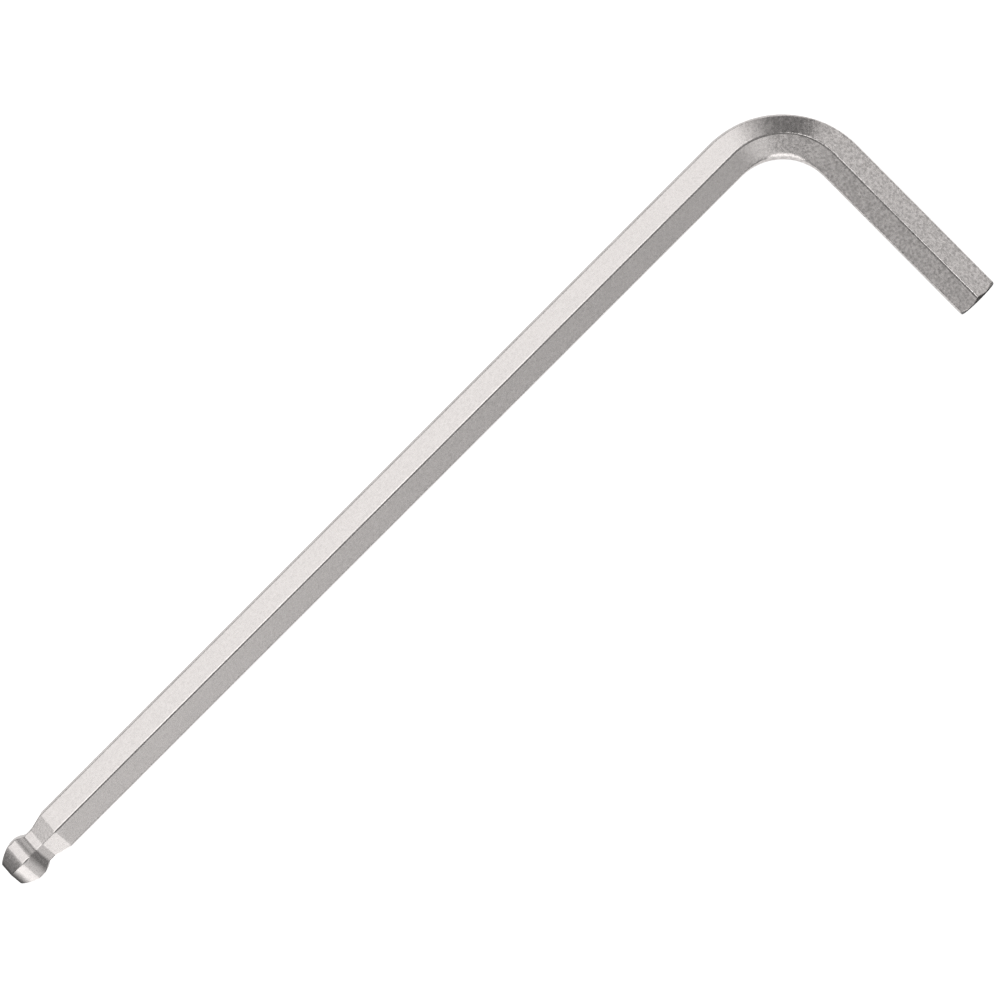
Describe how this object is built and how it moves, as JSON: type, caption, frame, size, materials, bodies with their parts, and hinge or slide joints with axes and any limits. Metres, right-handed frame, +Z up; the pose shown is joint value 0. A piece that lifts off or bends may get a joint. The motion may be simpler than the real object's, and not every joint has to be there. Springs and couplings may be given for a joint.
{
  "type": "ball-end hex key",
  "caption": "L-shaped hex key bent from hexagonal bar: a ball end on the long arm for slanted entry and a plain bevelled end on the short arm.",
  "frame": {"origin": "middle of the key's outline seen from above, on the surface that it lies on", "axes": "+X along the long arm from the ball end to the bend, -Y along the short arm from the bend to its end face, +Z up, square to the plane of both arms"},
  "size_m": [0.123, 0.0331, 0.0057],
  "materials": {
    "plated_steel": "satin chrome plate with a fine speckled grain"
  },
  "bodies": {
    "root": {"hex_key": "plated_steel"}
  },
  "joints": []
}
